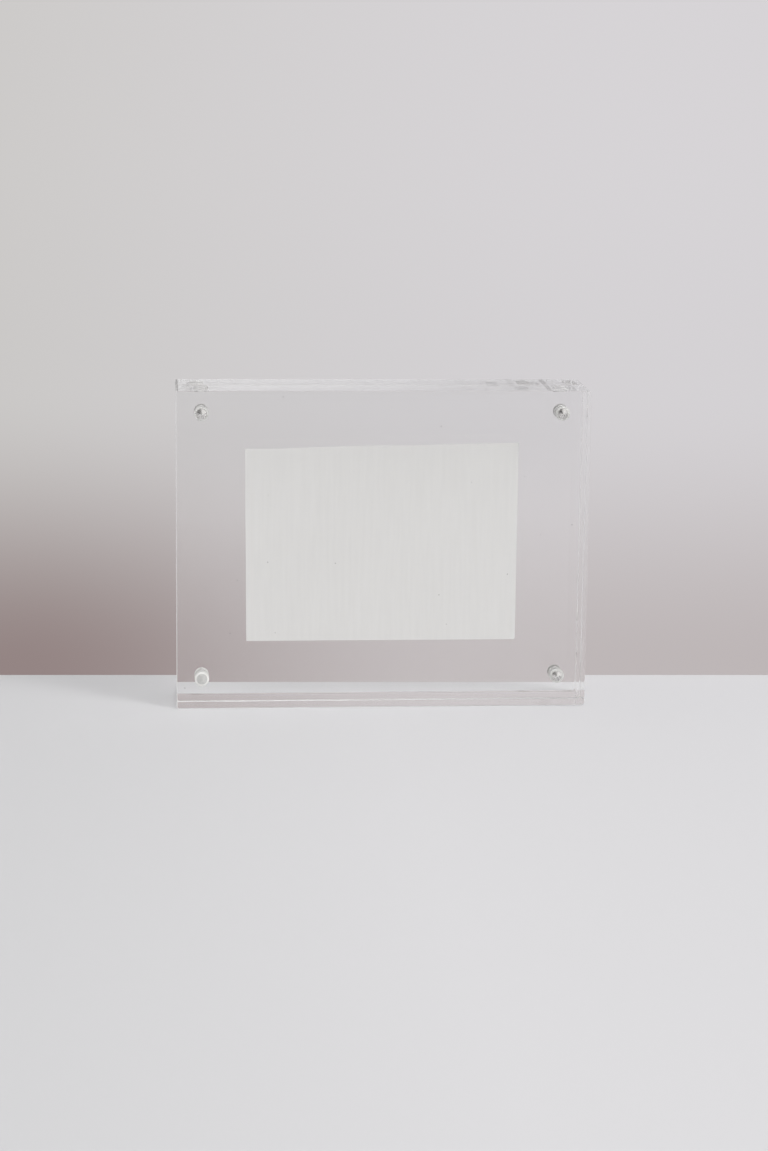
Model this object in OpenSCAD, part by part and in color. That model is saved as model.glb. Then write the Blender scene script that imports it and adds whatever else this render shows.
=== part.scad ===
// Block photo frame: two equal clear plates that stand on their long edge and clamp a card
// between them. Four pairs of small magnets, glued into blind holes drilled in the two meeting
// faces, hold the plates together. Millimetres, +Z up, front towards -Y, origin at the middle
// of the base.

/* [Clear plates] */
// Width of each plate
plate_w = 114.3; // [94:0.1:180]
// Height of each plate
plate_h = 88.9; // [73:0.1:150]
// Thickness of each plate
plate_t = 12.7; // [9:0.1:25]
// Radius of the four corners of a plate, seen from the front
corner_r = 0.8; // [0.5:0.1:3]
// Width of the flat polished along the rim of each large face
edge_break = 0.15; // [0.1:0.05:0.5]

/* [Card] */
// Width of the card along its lower edge
card_w = 75.8; // [40:0.1:80]
// Height of the card along its left edge, which is centred on the plates
card_h = 54.4; // [30:0.1:66]
// Thickness of the card, which is also the gap between the plates
card_t = 0.35; // [0.15:0.05:1]
// How much taller the card is at its right edge, where the top is cut askew
card_skew = 1.6; // [0:0.1:3]
// How far the top of the card's left edge leans outwards
card_lean = 0.4; // [0:0.1:2]
// How far to the right of the middle the card lies
card_shift = 0.3; // [-2:0.1:2]

/* [Magnets] */
// Diameter of a magnet
magnet_d = 3; // [2:0.1:6]
// Length of a magnet
magnet_l = 4; // [2:0.1:6]
// Chamfer on both ends of a magnet
magnet_chamfer = 0.2; // [0.05:0.05:0.3]
// Distance from the middle of a magnet to the nearest side and to the top or base
magnet_margin = 7.1; // [5:0.1:9]
// Depth of a magnet's end below the meeting face of its plate
magnet_inset = 0.1; // [0:0.05:0.5]

/* [Pockets] */
// Included angle of the drill point at the end of each pocket
drill_angle = 118; // [90:1:140]
// Width of the adhesive between a magnet and its pocket's wall
adhesive_w = 0.5; // [0.1:0.05:0.6]
// Depth of the adhesive below the meeting face of its plate
adhesive_inset = 0.3; // [0.1:0.05:0.6]
// Clearance between a magnet's end and the drill point that it rests on
seat_clear = 0.02; // [0.01:0.01:0.1]
// The magnet whose end the adhesive covers too, because its pocket was filled a little higher
covered_magnet = "front_magnet_bottom_left";

/* [Hidden] */
$fn = 96;

// Each side as its name and its direction along Y
SIDES = [["front", -1], ["back", 1]];
// Each corner, seen from the front, as its name and its directions along X and Z
CORNERS = [
    ["top_left", -1, 1],
    ["top_right", 1, 1],
    ["bottom_left", -1, -1],
    ["bottom_right", 1, -1],
];

acrylic_colour = [0.88, 0.92, 0.92, 0.35];
card_colour = [0.85, 0.84, 0.82];
magnet_colour = [0.72, 0.72, 0.70];
adhesive_colour = [0.93, 0.92, 0.86];

magnet_r = magnet_d / 2;
pocket_r = magnet_r + adhesive_w;
// Depth of the drill point for each unit of its radius
point_slope = 1 / tan(drill_angle / 2);
// How far a magnet's end reaches past the straight wall, to where its rim meets the drill point
seat_rise = (adhesive_w + magnet_chamfer) * point_slope;
pocket_depth = magnet_inset + magnet_l + seat_clear - seat_rise;
// Depth of the drill point itself
point_depth = pocket_depth + pocket_r * point_slope;
// Length by which a cutting shape stands out of the face that it cuts
cut_over = 1;

function magnet_name(side, corner) = str(side[0], "_magnet_", corner[0]);
function adhesive_name(side, corner) = str(side[0], "_adhesive_", corner[0]);

// A rectangle from the origin along +X and +Y, with its four corners cut off at 45 degrees
module broken_rectangle(w, h, cut) {
    polygon([
        [cut, 0], [w - cut, 0], [w, cut], [w, h - cut],
        [w - cut, h], [cut, h], [0, h - cut], [0, cut],
    ]);
}

// The plate's outline from the front, with round corners
module plate_outline() {
    translate([-plate_w / 2 + corner_r, 0]) square([plate_w - 2 * corner_r, plate_h]);
    translate([-plate_w / 2, corner_r]) square([plate_w, plate_h - 2 * corner_r]);
    for (x = [-1, 1], z = [corner_r, plate_h - corner_r])
        translate([x * (plate_w / 2 - corner_r), z]) circle(corner_r);
}

// A plate before drilling, with its meeting face on Y = 0 and its body towards +Y
module plate_blank() {
    intersection() {
        translate([0, plate_t, 0]) rotate([90, 0, 0]) linear_extrude(plate_t) plate_outline();
        translate([-plate_w / 2, 0, 0]) rotate([90, 0, 90])
            linear_extrude(plate_w) broken_rectangle(plate_t, plate_h, edge_break);
        translate([-plate_w / 2, 0, 0])
            linear_extrude(plate_h) broken_rectangle(plate_w, plate_t, edge_break);
    }
}

// The hole that a twist drill leaves, from the meeting face towards +Z
module pocket() {
    rotate_extrude() polygon([
        [0, -cut_over],
        [pocket_r, -cut_over],
        [pocket_r, pocket_depth],
        [0, point_depth],
    ]);
}

// Puts a shape on one side of the card, from its place on Y = 0 towards +Y
module on_side(side) {
    mirror([0, side[1] < 0 ? 1 : 0, 0]) translate([0, card_t / 2, 0]) children();
}

// Turns a shape's +Z into the depth of a plate, at one of the four corners
module at_corner(corner) {
    x = corner[1] * (plate_w / 2 - magnet_margin);
    z = plate_h / 2 + corner[2] * (plate_h / 2 - magnet_margin);
    translate([x, 0, z]) rotate([-90, 0, 0]) children();
}

module plate(side) {
    on_side(side) difference() {
        plate_blank();
        for (corner = CORNERS) at_corner(corner) pocket();
    }
}

module front_plate() {
    color(acrylic_colour) plate(SIDES[0]);
}

module back_plate() {
    color(acrylic_colour) plate(SIDES[1]);
}

// A hand-cut blank card, clamped between the two plates
module photo_card() {
    left = card_shift - card_w / 2;
    right = card_shift + card_w / 2;
    bottom = (plate_h - card_h) / 2;
    top = bottom + card_h;
    color(card_colour) translate([0, card_t / 2, 0]) rotate([90, 0, 0])
        linear_extrude(card_t) polygon([
            [left, bottom],
            [right, bottom],
            [right, top + card_skew],
            [left - card_lean, top],
        ]);
}

// A plated cylinder magnet with both ends chamfered
module magnet(side, corner) {
    color(magnet_colour) on_side(side) at_corner(corner) translate([0, 0, magnet_inset])
        rotate_extrude() polygon([
            [0, 0],
            [magnet_r - magnet_chamfer, 0],
            [magnet_r, magnet_chamfer],
            [magnet_r, magnet_l - magnet_chamfer],
            [magnet_r - magnet_chamfer, magnet_l],
            [0, magnet_l],
        ]);
}

// The cured adhesive round a magnet, which follows the drill point up to the magnet's rim
module adhesive(side, corner) {
    magnet_end = magnet_inset + magnet_l;
    rim = [[magnet_r, pocket_depth + adhesive_w * point_slope]];
    cover = [
        [0, point_depth],
        [0, magnet_end],
        [magnet_r - magnet_chamfer, magnet_end],
        [magnet_r, magnet_end - magnet_chamfer],
    ];
    color(adhesive_colour) on_side(side) at_corner(corner) rotate_extrude() polygon(concat(
        [[magnet_r, adhesive_inset], [pocket_r, adhesive_inset], [pocket_r, pocket_depth]],
        magnet_name(side, corner) == covered_magnet ? cover : rim
    ));
}

front_plate();
back_plate();
photo_card();
for (side = SIDES, corner = CORNERS) {
    magnet(side, corner);
    adhesive(side, corner);
}
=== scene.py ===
import math

import bmesh
import bpy
from mathutils import Matrix, Vector


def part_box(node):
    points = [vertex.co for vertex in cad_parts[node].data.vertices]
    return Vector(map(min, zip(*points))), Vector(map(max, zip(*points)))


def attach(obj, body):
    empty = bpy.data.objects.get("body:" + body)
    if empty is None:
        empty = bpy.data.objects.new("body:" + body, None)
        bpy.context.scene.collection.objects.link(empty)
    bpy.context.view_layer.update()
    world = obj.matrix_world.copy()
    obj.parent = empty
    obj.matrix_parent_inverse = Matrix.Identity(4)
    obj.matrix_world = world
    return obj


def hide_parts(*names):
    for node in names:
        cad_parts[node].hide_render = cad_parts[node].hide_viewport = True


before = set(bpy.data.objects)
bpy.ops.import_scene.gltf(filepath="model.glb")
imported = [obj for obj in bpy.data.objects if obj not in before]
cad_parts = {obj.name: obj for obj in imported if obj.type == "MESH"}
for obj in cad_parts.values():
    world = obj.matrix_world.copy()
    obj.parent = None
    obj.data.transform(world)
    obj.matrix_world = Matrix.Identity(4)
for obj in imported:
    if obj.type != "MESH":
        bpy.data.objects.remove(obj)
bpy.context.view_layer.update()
scene = bpy.context.scene
scene.view_settings.view_transform = "Standard"

# Clear plates
# Two equal slabs of cast acrylic, sawn to size and polished on every side, with a fine flat broken
# along each rim. Four blind holes, drilled in the meeting face of each plate, take the magnets.
CORNERS = ("top_left", "top_right", "bottom_left", "bottom_right")
CORNER_RADIUS = 0.0008
CORNER_STEPS = 10
RIM_FLAT = 0.00015
DRILL_ANGLE = math.radians(118)
DRILL_SLOPE = 1 / math.tan(DRILL_ANGLE / 2)
DRILL_STEPS = 72
DRILL_START = 0.001
POINT_SHARES = (1 / 2, 1 / 6)
CHISEL_RADIUS = 0.00012
NEAR = 1e-5
FACING = 0.9
plate_low, plate_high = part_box("back_plate")


def edit_edges(piece, wanted):
    """Opens a piece in edit mode with those edges selected whose two ends are wanted."""
    bpy.ops.object.mode_set(mode="EDIT")
    bpy.ops.mesh.select_mode(type="EDGE")
    bpy.ops.mesh.select_all(action="DESELECT")
    for edge in bmesh.from_edit_mesh(piece.data).edges:
        if wanted(*(end.co for end in edge.verts)):
            edge.select_set(True)
    bmesh.update_edit_mesh(piece.data)


def edit_faces(piece, wanted):
    """Opens a piece in edit mode with those faces selected whose middle and normal are wanted."""
    bpy.ops.object.mode_set(mode="EDIT")
    bpy.ops.mesh.select_mode(type="FACE")
    bpy.ops.mesh.select_all(action="DESELECT")
    for face in bmesh.from_edit_mesh(piece.data).faces:
        if wanted(face.calc_center_median(), face.normal):
            face.select_set(True)
    bmesh.update_edit_mesh(piece.data)


def finish_faces(piece, wanted, number):
    """Gives the faces that are wanted the finish with this number in the piece's list."""
    edit_faces(piece, wanted)
    piece.active_material_index = number
    bpy.ops.object.material_slot_assign()
    bpy.ops.object.mode_set(mode="OBJECT")


def pick(piece):
    """Leaves object mode with one piece selected and active."""
    bpy.ops.object.select_all(action="DESELECT")
    piece.select_set(True)
    bpy.context.view_layer.objects.active = piece


def drill_shape(corner):
    """The hole that a twist drill leaves at one corner of the back plate, up to its point."""
    low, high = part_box(f"back_adhesive_{corner}")
    magnet_low, magnet_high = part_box(f"back_magnet_{corner}")
    axis = (low + high) / 2
    radius = (high.x - low.x) / 2
    magnet_radius = (magnet_high.x - magnet_low.x) / 2
    start = plate_low.y - DRILL_START
    deep = high.y - (radius - magnet_radius) * DRILL_SLOPE
    bpy.ops.mesh.primitive_cylinder_add(
        vertices=DRILL_STEPS,
        radius=radius,
        depth=deep - start,
        location=(axis.x, (start + deep) / 2, axis.z),
        rotation=(math.pi / 2, 0, 0),
    )
    drill = bpy.context.object
    bpy.ops.object.transform_apply(location=True, rotation=True, scale=True)
    edit_faces(drill, lambda middle, normal: normal.y > FACING)
    wide = radius
    for narrow in [radius * share for share in POINT_SHARES] + [CHISEL_RADIUS]:
        step = (wide - narrow) * DRILL_SLOPE
        bpy.ops.mesh.extrude_region_move(TRANSFORM_OT_translate={"value": (0, step, 0)})
        deep += step
        bpy.ops.transform.resize(
            value=(narrow / wide, 1, narrow / wide), center_override=(axis.x, deep, axis.z)
        )
        wide = narrow
    bpy.ops.object.mode_set(mode="OBJECT")
    return drill


bpy.ops.object.select_all(action="DESELECT")
bpy.ops.mesh.primitive_cube_add(
    size=1, location=(plate_low + plate_high) / 2, scale=plate_high - plate_low
)
back_plate = bpy.context.object
back_plate.name = "clear_plate_back"
bpy.ops.object.transform_apply(location=True, rotation=True, scale=True)
edit_edges(back_plate, lambda a, b: abs(a.y - b.y) > NEAR)
bpy.ops.mesh.bevel(offset=CORNER_RADIUS, segments=CORNER_STEPS, affect="EDGES")
edit_edges(back_plate, lambda a, b: abs(a.y - b.y) < NEAR)
bpy.ops.mesh.bevel(offset=RIM_FLAT, segments=1, affect="EDGES")
bpy.ops.object.mode_set(mode="OBJECT")

bpy.ops.object.select_all(action="DESELECT")
drills = [drill_shape(corner) for corner in CORNERS]
for drill in drills:
    drill.select_set(True)
bpy.context.view_layer.objects.active = drills[0]
bpy.ops.object.join()
cut = back_plate.modifiers.new("holes", "BOOLEAN")
cut.operation = "DIFFERENCE"
cut.solver = "EXACT"
cut.object = drills[0]
pick(back_plate)
bpy.ops.object.modifier_apply(modifier="holes")
bpy.data.objects.remove(drills[0])


def node(tree, kind, inputs=(), **settings):
    """Adds a shader node with these settings, and sets or links each input that is named."""
    made = tree.nodes.new("ShaderNode" + kind)
    for name, value in settings.items():
        setattr(made, name, value)
    for name, value in dict(inputs).items():
        if isinstance(value, bpy.types.NodeSocket):
            tree.links.new(value, made.inputs[name])
        else:
            made.inputs[name].default_value = value
    return made


def place(tree, stretch=(1, 1, 1)):
    """The place on a piece in metres, multiplied by stretch, for a pattern to read."""
    spot = node(tree, "TexCoord")
    return node(tree, "Mapping", {"Vector": spot.outputs["Object"], "Scale": stretch}).outputs[0]


def place_parts(tree):
    """The place on a piece in metres, as its X, Y and Z."""
    return node(tree, "SeparateXYZ", {"Vector": place(tree)}).outputs


def spread(tree, value, span, new_span, soft=False):
    """A value inside one span carried over to another and held there, evenly or with soft ends."""
    return node(
        tree,
        "MapRange",
        {
            "Value": value,
            "From Min": span[0],
            "From Max": span[1],
            "To Min": new_span[0],
            "To Max": new_span[1],
        },
        interpolation_type="SMOOTHSTEP" if soft else "LINEAR",
    ).outputs["Result"]


def combine(tree, operation, first, second):
    """The result of a sum, a product or a comparison of two values."""
    return node(tree, "Math", {0: first, 1: second}, operation=operation).outputs[0]


def new_material(name):
    """A new node material, with its node tree and its shader."""
    material = bpy.data.materials.new(name)
    material.use_nodes = True
    tree = material.node_tree
    return material, tree, tree.nodes["Principled BSDF"]


def acrylic(name, clear=1):
    """Acrylic with a perfect polish, with its node tree and its shader."""
    material, tree, shader = new_material(name)
    shader.inputs["Base Color"].default_value = (1, 1, 1, 1)
    shader.inputs["Transmission Weight"].default_value = clear
    shader.inputs["IOR"].default_value = ACRYLIC_IOR
    shader.inputs["Roughness"].default_value = 0
    return material, tree, shader


# The large faces carry a few specks of dust. The drill leaves fine rings in the holes. The front plate's
# left and lower rims are matte and painted white as a highlight:
# the side rim fully, the base rim less towards the right.
ACRYLIC_IOR = 1.49
DUST_PER_METRE = 130
DUST_RADII = (0.018, 0.026)
DUST_SHADE = 0.45
DRILL_RINGS = (150, 6000, 150)
DRILL_RING_SPAN = (0.45, 0.75)
DRILL_ROUGHNESS = (0.08, 0.16)
RIM_HIGHLIGHT_CLEAR = 0.2
RIM_HIGHLIGHT_ROUGHNESS = 0.5
BASE_RIM_SPAN = (-0.02, 0.05)
BASE_RIM_HIGHLIGHT = (0.82, 0.68)
SIDE_RIM_SPAN = (0.0002, 0.001)
SIDE_RIM_HIGHLIGHT = (0, 0.18)
dusty, tree, shader = acrylic("acrylic_face")
grains = node(tree, "TexVoronoi", {"Vector": place(tree), "Scale": DUST_PER_METRE})
speck = spread(tree, grains.outputs["Distance"], DUST_RADII, (DUST_SHADE, 1))
tree.links.new(speck, shader.inputs["Base Color"])

polished, tree, shader = acrylic("acrylic_edge")

drilled, tree, shader = acrylic("acrylic_drilled")
rings = node(tree, "TexNoise", {"Vector": place(tree, DRILL_RINGS), "Scale": 1, "Detail": 1})
finish = spread(tree, rings.outputs[0], DRILL_RING_SPAN, DRILL_ROUGHNESS)
tree.links.new(finish, shader.inputs["Roughness"])

# Painted highlight: the rims' white is strongest on the side rim and fades to the right along the base.
rim_highlight, tree, shader = acrylic("acrylic_rim_highlight", RIM_HIGHLIGHT_CLEAR)
spot = place_parts(tree)
base_rim_highlight = spread(tree, spot["X"], BASE_RIM_SPAN, BASE_RIM_HIGHLIGHT)
side_rim_highlight = spread(tree, spot["Z"], SIDE_RIM_SPAN, SIDE_RIM_HIGHLIGHT)
tree.links.new(combine(tree, "ADD", base_rim_highlight, side_rim_highlight), shader.inputs["Base Color"])
shader.inputs["Roughness"].default_value = RIM_HIGHLIGHT_ROUGHNESS
for finish in (dusty, polished, drilled, rim_highlight):
    back_plate.data.materials.append(finish)
FINISH_EDGE = 1
FINISH_DRILLED = 2
FINISH_RIM_HIGHLIGHT = 3


def in_hole(middle, normal):
    """Whether a face belongs to one of the drilled holes."""
    inside = plate_high.x - abs(middle.x) > 2 * RIM_FLAT and middle.z > 2 * RIM_FLAT
    inside = inside and plate_high.z - middle.z > 2 * RIM_FLAT
    return inside and plate_low.y + NEAR < middle.y < plate_high.y - NEAR


def on_edge(middle, normal):
    """Whether a face belongs to a plate's narrow sides, their round corners or their rims."""
    return abs(normal.y) < 1 - NEAR and not in_hole(middle, normal)


def is_flat(middle, normal):
    """Whether a face is one of the plate's large flats or of the flats broken along its rims."""
    on_rim = abs(normal.y) > NEAR and on_edge(middle, normal)
    return on_rim or max(map(abs, normal)) > 1 - NEAR


finish_faces(back_plate, on_edge, FINISH_EDGE)
finish_faces(back_plate, in_hole, FINISH_DRILLED)
bpy.ops.object.shade_smooth_by_angle(angle=math.radians(30))
edit_faces(back_plate, is_flat)
bpy.ops.mesh.faces_shade_flat()
bpy.ops.object.mode_set(mode="OBJECT")

bpy.ops.object.duplicate()
front_plate = bpy.context.object
front_plate.name = "clear_plate_front"
bpy.ops.object.mode_set(mode="EDIT")
bpy.ops.mesh.select_all(action="SELECT")
bpy.ops.transform.rotate(value=math.pi, orient_axis="Z", center_override=(0, 0, 0))
# The front plate's left and lower rims get the painted highlight.
finish_faces(
    front_plate,
    lambda middle, normal: abs(normal.y) > 0.6 and min(normal.x, normal.z) < -0.6,
    FINISH_RIM_HIGHLIGHT,
)
for plate, body in ((back_plate, "back"), (front_plate, "front")):
    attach(plate, body)
    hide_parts(f"{body}_plate")

# Magnets
# Eight small cylinder magnets, sintered, tumbled round at the rims and plated with nickel. Each is
# pushed into its hole until its end seats on the drill point, and glued there.
MAGNET_STEPS = 64
MAGNET_ROUND = 0.0002
MAGNET_ROUND_STEPS = 4
NICKEL_COLOUR = (0.8, 0.785, 0.765, 1)
NICKEL_GRAIN = 2500
NICKEL_GRAIN_SPAN = (0.35, 0.7)
NICKEL_ROUGHNESS = (0.24, 0.36)
NICKEL_RELIEF = 0.000002
SIDES = ("back", "front")
magnet_low, magnet_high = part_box("back_magnet_top_left")
magnet_radius = (magnet_high.x - magnet_low.x) / 2
bpy.ops.object.select_all(action="DESELECT")
bpy.ops.mesh.primitive_cylinder_add(
    vertices=MAGNET_STEPS,
    radius=magnet_radius,
    depth=magnet_high.y - magnet_low.y,
    location=(magnet_low + magnet_high) / 2,
    rotation=(math.pi / 2, 0, 0),
)
first_magnet = bpy.context.object
first_magnet.name = "magnet_back_top_left"
bpy.ops.object.transform_apply(location=True, rotation=True, scale=True)
edit_edges(first_magnet, lambda a, b: abs(a.y - b.y) < NEAR)
bpy.ops.mesh.bevel(offset=MAGNET_ROUND, segments=MAGNET_ROUND_STEPS, affect="EDGES")
bpy.ops.object.mode_set(mode="OBJECT")
bpy.ops.object.shade_smooth_by_angle(angle=math.radians(35))

nickel, tree, shader = new_material("nickel_plating")
shader.inputs["Base Color"].default_value = NICKEL_COLOUR
shader.inputs["Metallic"].default_value = 1
grain = node(tree, "TexNoise", {"Vector": place(tree), "Scale": NICKEL_GRAIN, "Detail": 3}).outputs[0]
tree.links.new(spread(tree, grain, NICKEL_GRAIN_SPAN, NICKEL_ROUGHNESS), shader.inputs["Roughness"])
relief = node(tree, "Bump", {"Height": grain, "Strength": 1, "Distance": NICKEL_RELIEF})
tree.links.new(relief.outputs[0], shader.inputs["Normal"])
first_magnet.data.materials.append(nickel)


def copy_to(piece, name, side, corner, kind):
    """A copy of a piece of the back plate's top left hole, moved or turned round to another hole."""
    low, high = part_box(f"back_{kind}_top_left")
    new_low, new_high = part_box(f"{side}_{kind}_{corner}")
    here = (low + high) / 2
    there = (new_low + new_high) / 2
    pick(piece)
    bpy.ops.object.duplicate()
    copy = bpy.context.object
    copy.name = name
    bpy.ops.object.mode_set(mode="EDIT")
    bpy.ops.mesh.select_all(action="SELECT")
    if side == "front":
        bpy.ops.transform.rotate(value=math.pi, orient_axis="Z", center_override=here)
    bpy.ops.transform.translate(value=there - here)
    bpy.ops.object.mode_set(mode="OBJECT")
    return copy


for side in SIDES:
    for corner in CORNERS:
        magnet = first_magnet
        if (side, corner) != ("back", "top_left"):
            magnet = copy_to(first_magnet, f"magnet_{side}_{corner}", side, corner, "magnet")
        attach(magnet, side)
        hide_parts(f"{side}_magnet_{corner}")

# Adhesive
# A collar of cured two-part adhesive between each magnet and the wall of its hole. Where it pooled at
# the drill point it is thick and cream white, and along the wall the grey of the magnet shows through.
# In the back plate's top left, top right and bottom right holes, the wall and the end ring are darker grey
# still: that is painted shade.
COLLAR_STEPS = 72
COLLAR_BITE = 0.00001
END_RING = 0.0008
SKIN_SHARE = 0.95
CLOUD_SCALE = 1200
CLOUD_SPAN = (0.35, 0.65)
CLOUD_ROUGHNESS = (0.35, 0.55)
COLLAR_SMOOTH = math.radians(25)
collar_low, collar_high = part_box("back_adhesive_top_left")
collar_middle = (collar_low + collar_high) / 2
collar_radius = (collar_high.x - collar_low.x) / 2
collar_width = collar_radius + COLLAR_BITE - magnet_radius
straight_end = collar_high.y - (collar_radius - magnet_radius) * DRILL_SLOPE
ring_start = straight_end - END_RING
bpy.ops.object.select_all(action="DESELECT")
bpy.ops.mesh.primitive_cylinder_add(
    vertices=COLLAR_STEPS,
    radius=collar_radius + COLLAR_BITE,
    depth=ring_start - collar_low.y,
    location=(collar_middle.x, (collar_low.y + ring_start) / 2, collar_middle.z),
    rotation=(math.pi / 2, 0, 0),
)
first_collar = bpy.context.object
first_collar.name = "adhesive_back_top_left"
bpy.ops.object.transform_apply(location=True, rotation=True, scale=True)
edit_faces(first_collar, lambda middle, normal: normal.y > FACING)
bpy.ops.mesh.extrude_region_move(TRANSFORM_OT_translate={"value": (0, END_RING, 0)})
bpy.ops.object.mode_set(mode="OBJECT")


def blend(tree, amount, first, second):
    """A tone between two others, each a colour or the output of a node."""
    return node(tree, "MixRGB", {"Fac": amount, "Color1": first, "Color2": second}).outputs[0]


def cured_adhesive(name, deep, pale):
    """Cloudy adhesive between two tones."""
    material, tree, shader = new_material(name)
    cloud = node(tree, "TexNoise", {"Vector": place(tree), "Scale": CLOUD_SCALE, "Detail": 4}).outputs[0]
    tint = blend(tree, spread(tree, cloud, CLOUD_SPAN, (0, 1)), (*deep, 1), (*pale, 1))
    tree.links.new(tint, shader.inputs["Base Color"])
    tree.links.new(spread(tree, cloud, (0.3, 0.7), CLOUD_ROUGHNESS), shader.inputs["Roughness"])
    shader.inputs["Specular IOR Level"].default_value = 0.1
    return material


pooled = cured_adhesive("adhesive_pooled", (0.84, 0.835, 0.81), (0.93, 0.925, 0.9))
pale = cured_adhesive("adhesive_pale", (0.7, 0.695, 0.675), (0.82, 0.815, 0.79))
milky = cured_adhesive("adhesive_milky", (0.56, 0.555, 0.54), (0.68, 0.675, 0.66))
# The darkest tone, kept on the wall and end ring of three back-plate holes, is painted shade.
thin_and_shaded = cured_adhesive("adhesive_thin_and_shaded", (0.4, 0.395, 0.38), (0.52, 0.51, 0.49))
FINISH_POINT = 0
FINISH_WALL = 1
FINISH_END_RING = 2
for finish in (pale, thin_and_shaded, thin_and_shaded):
    first_collar.data.materials.append(finish)
finish_faces(first_collar, lambda middle, normal: abs(normal.y) < 1 - FACING, FINISH_WALL)
finish_faces(
    first_collar,
    lambda middle, normal: abs(normal.y) < 1 - FACING and middle.y > ring_start,
    FINISH_END_RING,
)
bpy.ops.object.duplicate()
covering_collar = bpy.context.object

pick(first_collar)
edit_faces(first_collar, lambda middle, normal: abs(normal.y) > FACING)
bpy.ops.mesh.inset(thickness=collar_width)
bpy.ops.mesh.bridge_edge_loops()


def at_magnet(spot):
    """Whether a corner of the collar lies at the magnet's side."""
    return (spot - collar_middle).xz.length < magnet_radius + NEAR


edit_edges(
    first_collar,
    lambda a, b: min(a.y, b.y) > straight_end - NEAR and at_magnet(a) and at_magnet(b),
)
bpy.ops.transform.translate(value=(0, collar_high.y - straight_end, 0))
edit_edges(first_collar, lambda a, b: min(a.y, b.y) > straight_end - NEAR)
bpy.ops.transform.translate(value=(0, COLLAR_BITE, 0))
bpy.ops.object.mode_set(mode="OBJECT")
bpy.ops.object.shade_smooth_by_angle(angle=COLLAR_SMOOTH)

# In one hole the adhesive also covers the magnet's end, up to the drill's point. It is thin over the end,
# where the metal greys it, and white round it.
pick(covering_collar)
edit_faces(covering_collar, lambda middle, normal: normal.y < -FACING)
bpy.ops.mesh.inset(thickness=collar_width)
bpy.ops.mesh.extrude_region_move(
    TRANSFORM_OT_translate={"value": (0, magnet_high.y - collar_low.y, 0)}
)
edit_faces(covering_collar, lambda middle, normal: normal.y > FACING)
wide = collar_radius
skin_radius = magnet_radius * SKIN_SHARE
for narrow in [skin_radius] + [collar_radius * share for share in POINT_SHARES] + [CHISEL_RADIUS]:
    bpy.ops.mesh.extrude_region_move(
        TRANSFORM_OT_translate={"value": (0, (wide - narrow) * DRILL_SLOPE, 0)}
    )
    bpy.ops.transform.resize(
        value=(narrow / wide, 1, narrow / wide), center_override=collar_middle
    )
    wide = narrow
finish_faces(
    covering_collar, lambda middle, normal: middle.y > straight_end + NEAR, FINISH_POINT
)
finish_faces(
    covering_collar,
    lambda middle, normal: middle.y > straight_end + NEAR
    and (middle - collar_middle).xz.length < skin_radius,
    FINISH_END_RING,
)
edit_faces(covering_collar, lambda middle, normal: middle.y > straight_end - NEAR and normal.y > 0.5)
bpy.ops.transform.translate(value=(0, COLLAR_BITE, 0))
bpy.ops.object.mode_set(mode="OBJECT")
bpy.ops.object.shade_smooth_by_angle(angle=COLLAR_SMOOTH)

for side in SIDES:
    for corner in CORNERS:
        collar = first_collar
        covering = (side, corner) == ("front", "bottom_left")
        if (side, corner) != ("back", "top_left"):
            model = covering_collar if covering else first_collar
            collar = copy_to(model, f"adhesive_{side}_{corner}", side, corner, "adhesive")
        finishes = collar.data.materials
        if side == "front" or corner == "bottom_left":
            finishes[FINISH_WALL] = milky
        if side == "front":
            finishes[FINISH_END_RING] = milky
        elif corner == "bottom_left":
            finishes[FINISH_END_RING] = pooled
        if covering:
            finishes[FINISH_POINT] = pooled
        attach(collar, side)
        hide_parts(f"{side}_adhesive_{corner}")
bpy.data.objects.remove(covering_collar)

# Card
# A blank piece of uncoated card, off-white with a faint upright grain, cut by hand so that its top
# runs a little askew and wavers. Nothing but the grip of the two plates holds it.
CARD_SKEW = 0.0016
CARD_LEAN = 0.0004
CARD_GAP = 0.00002
CARD_ROUND = 0.0005
CARD_ROUND_STEPS = 4
CARD_CUTS = 40
CARD_SLIPS = ((-0.0266, -0.00014), (-0.0065, 0.00015))
CARD_SLIP_REACH = 0.011
CARD_GRAIN = (900, 900, 60)
CARD_TONES = ((0.68, 0.673, 0.66, 1), (0.7, 0.693, 0.68, 1))
card_low, card_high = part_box("photo_card")
card_top = card_high.z - 2 * CARD_SKEW
slip_width = card_high.x / CARD_CUTS
bpy.ops.object.select_all(action="DESELECT")
bpy.ops.mesh.primitive_cube_add(
    size=1,
    location=(card_low + card_high) / 2,
    scale=card_high - card_low - Vector((0, 2 * CARD_GAP, 0)),
)
card = bpy.context.object
card.name = "blank_card"
bpy.ops.object.transform_apply(location=True, rotation=True, scale=True)
edit_edges(card, lambda a, b: max(a.x, b.x) < 0 and min(a.z, b.z) > card_high.z - NEAR)
bpy.ops.transform.translate(value=(0, 0, -CARD_SKEW))
edit_edges(card, lambda a, b: max(a.x, b.x) < 0 and max(a.z, b.z) < card_low.z + NEAR)
bpy.ops.transform.translate(value=(CARD_LEAN, 0, 0))
edit_edges(card, lambda a, b: min(a.x, b.x) > 0 and max(a.z, b.z) < card_low.z + NEAR)
bpy.ops.mesh.bevel(offset=CARD_ROUND, segments=CARD_ROUND_STEPS, affect="EDGES")
edit_edges(card, lambda a, b: min(a.z, b.z) > card_top and abs(a.x - b.x) > NEAR)
bpy.ops.mesh.subdivide(number_cuts=CARD_CUTS)
for x, rise in CARD_SLIPS:
    edit_edges(
        card,
        lambda a, b: min(a.z, b.z) > card_top and max(abs(a.x - x), abs(b.x - x)) < slip_width,
    )
    bpy.ops.transform.translate(
        value=(0, 0, rise),
        use_proportional_edit=True,
        proportional_edit_falloff="SMOOTH",
        proportional_size=CARD_SLIP_REACH,
    )
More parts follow.
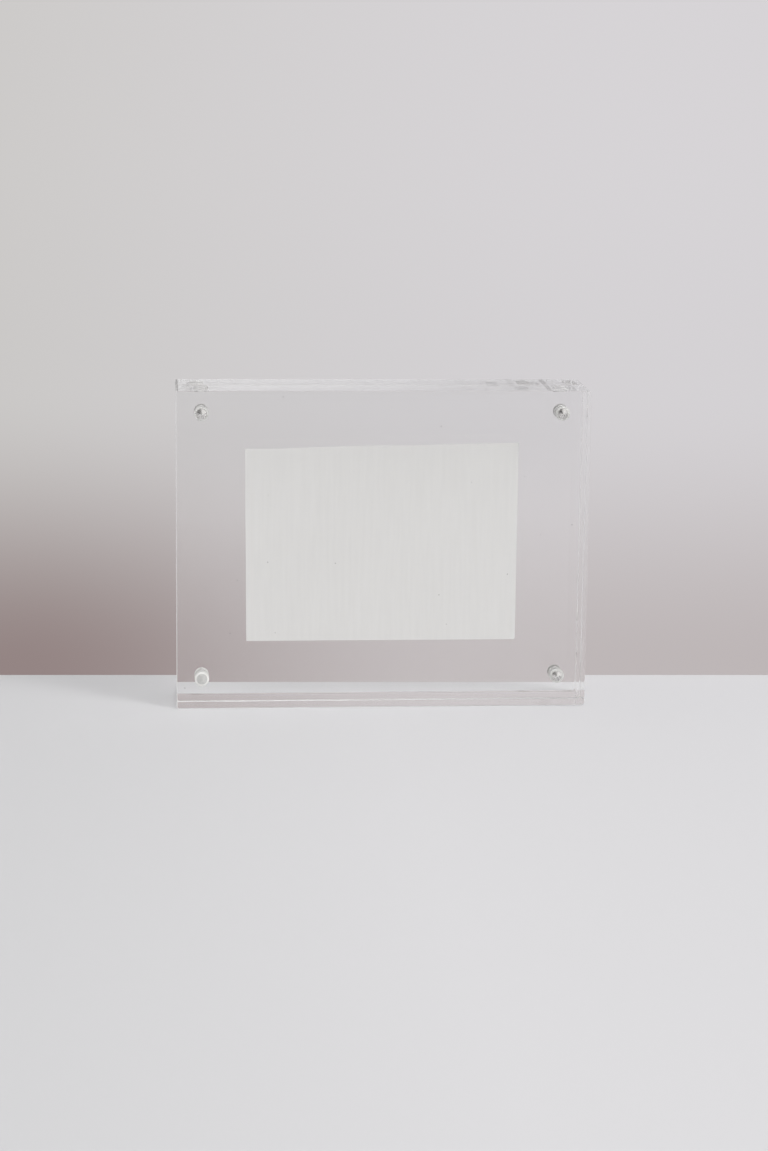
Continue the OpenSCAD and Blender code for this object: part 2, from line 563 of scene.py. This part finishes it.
bpy.ops.object.mode_set(mode="OBJECT")

paper, tree, shader = new_material("uncoated_card")
grain = node(tree, "TexNoise", {"Vector": place(tree, CARD_GRAIN), "Scale": 1, "Detail": 3}).outputs[0]
tint = blend(tree, spread(tree, grain, (0.3, 0.7), (0, 1)), *CARD_TONES)
tree.links.new(tint, shader.inputs["Base Color"])
shader.inputs["Roughness"].default_value = 0.9
shader.inputs["Specular IOR Level"].default_value = 0.2
card.data.materials.append(paper)
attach(card, "card")
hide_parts("photo_card")

# Table and wall
# A plain pale table top that ends a little behind the block, painted darker towards the left as shade, and
# beyond it a plain wall that darkens towards the table, most of all on the left: painted shadow of the
# table and the block. The wall shows from the front only and takes no light away, so that the block can
# also be seen from behind.
TABLE_GAP = 0.00005
TABLE_BACK = 0.0256
TABLE_TURN = math.radians(-2.08)
TABLE_REACH = 3.0
TABLE_THICK = 0.03
TABLE_SHADE_ACROSS = (-0.13, 0)
TABLE_SHADED_TONES = ((0.575, 0.575, 0.585, 1), (0.655, 0.65, 0.665, 1))
TABLE_FAR_SHADE_SPAN = (-0.5, -0.3)
TABLE_FAR_SHADE_TONE = (0.32, 0.32, 0.33, 1)
WALL_BEHIND = 0.053
WALL_LOW = -1.0
WALL_HIGH = 3.0
WALL_RISE = (-0.011, 0.078)
WALL_LOW_ACROSS = (-0.106, 0.035)
WALL_LOW_SHADED_TONES = ((0.304, 0.241, 0.236, 1), (0.527, 0.484, 0.487, 1))
WALL_HIGH_ACROSS = (-0.4, 0.108)
WALL_HIGH_SHADED_TONES = ((0.504, 0.497, 0.447, 1), (0.678, 0.658, 0.677, 1))
WALL_SHINE_RISE = (0.074, 0.155)
WALL_SHINE = (0.973, 1)
table_edge = Matrix.Translation((0, TABLE_BACK, 0)) @ Matrix.Rotation(TABLE_TURN, 4, "Z")
bpy.ops.object.select_all(action="DESELECT")
bpy.ops.mesh.primitive_cube_add(
    size=1,
    location=(0, -TABLE_REACH / 2, -TABLE_GAP - TABLE_THICK / 2),
    scale=(2 * TABLE_REACH, TABLE_REACH, TABLE_THICK),
)
table = bpy.context.object
table.name = "table"
bpy.ops.object.transform_apply(location=True, rotation=True, scale=True)
table.data.transform(table_edge)


def single_reflection(tree, ray):
    """1 for a ray that has been mirrored exactly once, or else 0."""
    return node(
        tree, "Math", {0: ray.outputs["Glossy Depth"], 1: 1, 2: 0.5}, operation="COMPARE"
    ).outputs[0]


white, tree, shader = new_material("table_white")
spot = place_parts(tree)
# Painted shade: the table darkens towards the left.
left_shade = blend(tree, spread(tree, spot["X"], TABLE_SHADE_ACROSS, (0, 1)), *TABLE_SHADED_TONES)
# Painted shade seen only in single mirror reflections: from 0.3 m in front of the block on, the table
# turns dark grey.
far_shade = spread(tree, spot["Y"], TABLE_FAR_SHADE_SPAN, (1, 0))
far_shade = combine(tree, "MULTIPLY", far_shade, single_reflection(tree, node(tree, "LightPath")))
tree.links.new(blend(tree, far_shade, left_shade, TABLE_FAR_SHADE_TONE), shader.inputs["Base Color"])
shader.inputs["Roughness"].default_value = 0.6
shader.inputs["Specular IOR Level"].default_value = 0.2
table.data.materials.append(white)

bpy.ops.mesh.primitive_plane_add(
    size=1,
    location=(0, WALL_BEHIND, (WALL_LOW + WALL_HIGH) / 2),
    rotation=(math.pi / 2, 0, 0),
)
wall = bpy.context.object
wall.name = "wall"
wall.scale = (2 * TABLE_REACH, WALL_HIGH - WALL_LOW, 1)
bpy.ops.object.transform_apply(location=True, rotation=True, scale=True)
wall.data.transform(table_edge)

grey, tree, shader = new_material("wall_grey")
tree.nodes.remove(shader)
spot = place_parts(tree)
# Painted shadow: the wall's tones darken towards the table and to the left, and its glow rises a little
# higher up.
low_across = spread(tree, spot["X"], WALL_LOW_ACROSS, (0, 1), soft=True)
high_across = spread(tree, spot["X"], WALL_HIGH_ACROSS, (0, 1), soft=True)
tone = blend(
    tree,
    spread(tree, spot["Z"], WALL_RISE, (0, 1), soft=True),
    blend(tree, low_across, *WALL_LOW_SHADED_TONES),
    blend(tree, high_across, *WALL_HIGH_SHADED_TONES),
)
strength = spread(tree, spot["Z"], WALL_SHINE_RISE, WALL_SHINE, soft=True)
shine = node(tree, "Emission", {"Color": tone, "Strength": strength})
clear = node(tree, "BsdfTransparent")
ray = node(tree, "LightPath")
behind = node(tree, "NewGeometry").outputs["Backfacing"]
unlit = combine(tree, "ADD", ray.outputs["Is Shadow Ray"], ray.outputs["Diffuse Depth"])
unseen = combine(tree, "MINIMUM", combine(tree, "ADD", unlit, behind), 1)
shown = node(tree, "MixShader", {0: unseen, 1: shine.outputs[0], 2: clear.outputs[0]})
tree.links.new(shown.outputs[0], tree.nodes["Material Output"].inputs["Surface"])
wall.data.materials.append(grey)

# Light
# A soft dome, a little brighter in front and to the right, and a round softbox at the right that lays a
# soft shadow to the left. Light that comes in through the clear plates takes the softbox as a broad glow,
# which leaves no grain. In single reflections a dark flag left of the camera shades one side of the metal.
DOME_DIRECTION = Vector((0.79, -0.5, 0.35)).normalized()
DOME_LEVELS = (0.55, 1.05)
SOFTBOX_DIRECTION = Vector((0.72, -0.56, 0.41)).normalized()
SOFTBOX_ANGLES = (math.radians(10), math.radians(14))
SOFTBOX_LEVEL = 10.2
GLOW_ANGLES = (0, math.radians(75))
GLOW_LEVEL = 0.83
FLAG_DIRECTION = Vector((-0.45, -0.88, 0.12)).normalized()
FLAG_ANGLES = (math.radians(26), math.radians(46))
FLAG_LEVEL = 0.85
world = bpy.data.worlds.new("studio")
scene.world = world
world.use_nodes = True
tree = world.node_tree
sky = node(tree, "TexCoord").outputs["Generated"]


def towards(direction):
    """How nearly a ray points in a direction, from -1 to 1."""
    return node(tree, "VectorMath", {0: sky, 1: direction}, operation="DOT_PRODUCT").outputs["Value"]


def patch(direction, angles, level):
    """A soft round patch of the dome, of this level inside the first angle and 0 outside the second."""
    inside, outside = map(math.cos, angles)
    return spread(tree, towards(direction), (outside, inside), (0, level), soft=True)


ray = node(tree, "LightPath")
bent = combine(tree, "MAXIMUM", ray.outputs["Is Glossy Ray"], ray.outputs["Is Transmission Ray"])
straight = combine(tree, "SUBTRACT", 1, bent)
scattered = combine(tree, "GREATER_THAN", ray.outputs["Diffuse Depth"], 0.5)
through = combine(tree, "MULTIPLY", bent, scattered)
mirrored = combine(
    tree, "MULTIPLY", single_reflection(tree, ray), combine(tree, "GREATER_THAN", bent, scattered)
)
flag = combine(tree, "MULTIPLY", patch(FLAG_DIRECTION, FLAG_ANGLES, FLAG_LEVEL), mirrored)
dome = spread(tree, towards(DOME_DIRECTION), (-1, 1), DOME_LEVELS)
dome = combine(tree, "MULTIPLY", dome, combine(tree, "SUBTRACT", 1, flag))
softbox = combine(tree, "MULTIPLY", patch(SOFTBOX_DIRECTION, SOFTBOX_ANGLES, SOFTBOX_LEVEL), straight)
glow = combine(tree, "MULTIPLY", patch(SOFTBOX_DIRECTION, GLOW_ANGLES, GLOW_LEVEL), through)
strength = combine(tree, "ADD", dome, combine(tree, "ADD", softbox, glow))
background = tree.nodes["Background"]
background.inputs["Color"].default_value = (1, 1, 1, 1)
tree.links.new(strength, background.inputs["Strength"])

scene.cycles.blur_glossy = 0
scene.cycles.max_bounces = 64
scene.cycles.glossy_bounces = 64
scene.cycles.transmission_bounces = 32
scene.cycles.transparent_max_bounces = 16

# Camera
# A long lens a little above the block and left of its middle, turned slightly to the right,
# so that the top edge shows and the back plate is seen through the front one.
CAMERA_PLACE = (-0.06435, -0.76308, 0.18943)
CAMERA_TURN = math.radians(4.919)
CAMERA_DOWN = math.radians(11.409)
CAMERA_ROLL = math.radians(0.662)
camera_data = bpy.data.cameras.new("camera")
camera_data.sensor_width = 36
camera_data.lens = 86.75
camera_data.clip_start = 0.01
camera_data.clip_end = 50
camera = bpy.data.objects.new("camera", camera_data)
scene.collection.objects.link(camera)
camera.matrix_world = (
    Matrix.Translation(CAMERA_PLACE)
    @ Matrix.Rotation(-CAMERA_TURN, 4, "Z")
    @ Matrix.Rotation(math.pi / 2 - CAMERA_DOWN, 4, "X")
    @ Matrix.Rotation(CAMERA_ROLL, 4, "Z")
)
scene.camera = camera
